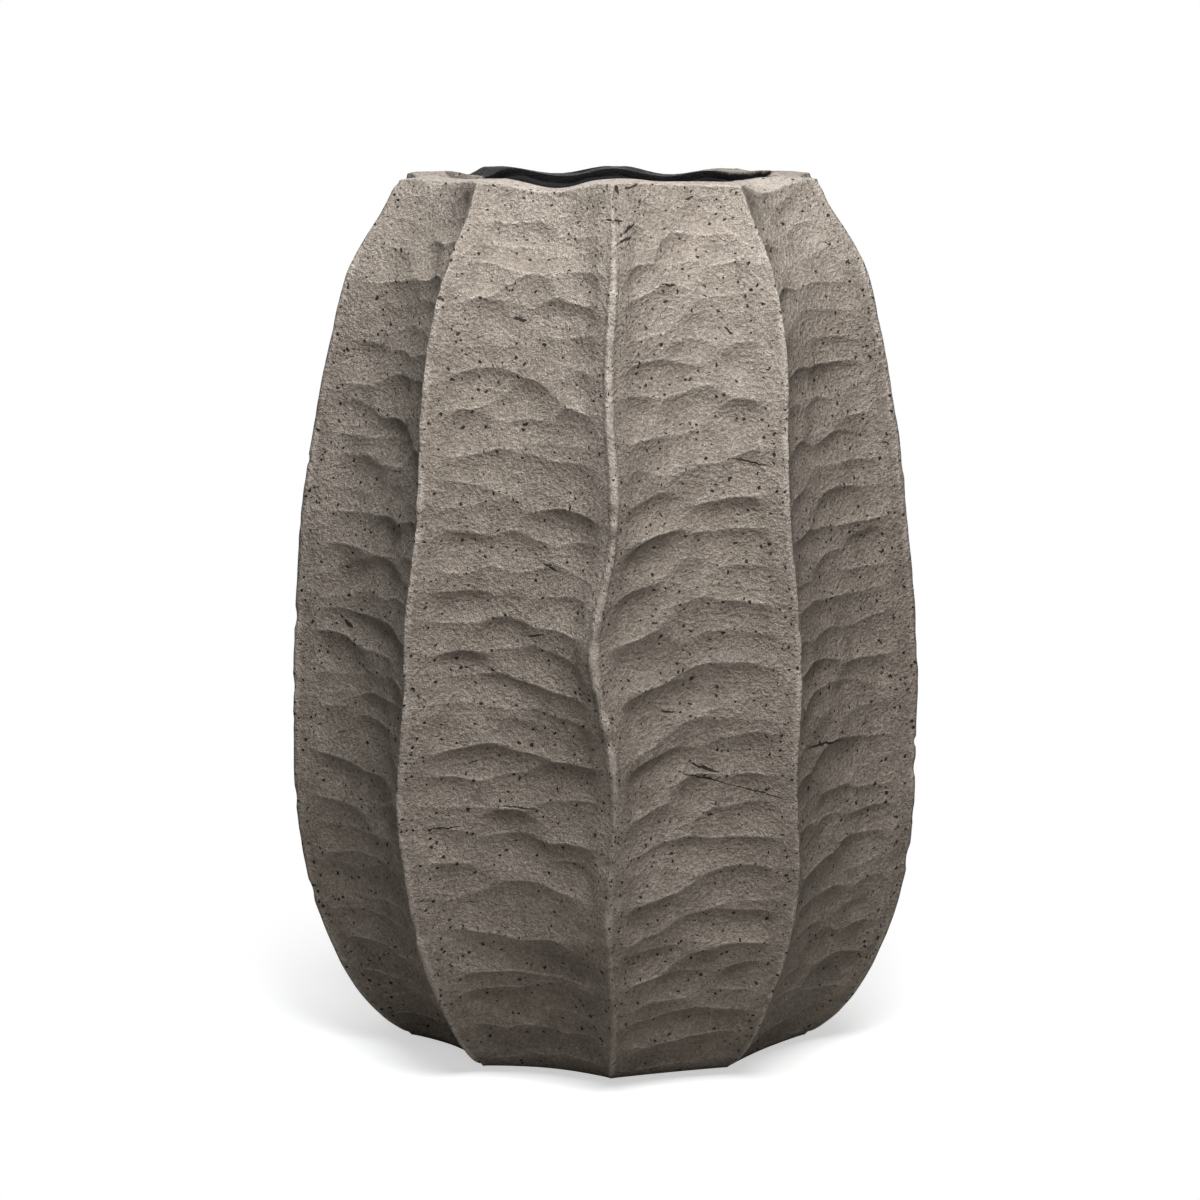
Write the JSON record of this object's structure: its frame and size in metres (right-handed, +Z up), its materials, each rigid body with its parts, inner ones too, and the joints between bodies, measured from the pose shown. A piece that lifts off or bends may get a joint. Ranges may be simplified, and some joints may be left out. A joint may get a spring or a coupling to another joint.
{
  "type": "flower pot",
  "caption": "Tall hand-carved clay flower pot with sharp wandering ridges, hollow flutes, a wavy lip, a sealed inside and a lift-out drain stopper.",
  "frame": {"origin": "on the ground under the middle of the pot, at the bottom centre of its box", "axes": "+Z up along the pot, -Y out through the front ridge, +X to the right seen from the front"},
  "size_m": [0.2587, 0.27, 0.3635],
  "materials": {
    "fired_clay": "unglazed grey-brown grogged clay, carved with a gouge, sandy and pitted",
    "black_coat": "brushed-on black sealing coat, satin",
    "stopper_rubber": "moulded dark rubber, dull",
    "pad_rubber": "grey soft rubber, dull"
  },
  "bodies": {
    "pot": {"clay_body": "fired_clay", "sealing_coat": "black_coat", "foot_pad_1": "pad_rubber", "foot_pad_2": "pad_rubber", "foot_pad_3": "pad_rubber", "foot_pad_4": "pad_rubber", "foot_pad_5": "pad_rubber"},
    "stopper": {"drain_stopper": "stopper_rubber"}
  },
  "joints": [
    {"name": "stopper_lift", "type": "slide", "parent": "pot", "child": "stopper", "axis": [0, 0, 1], "range_m": [0, 0.37]}
  ]
}
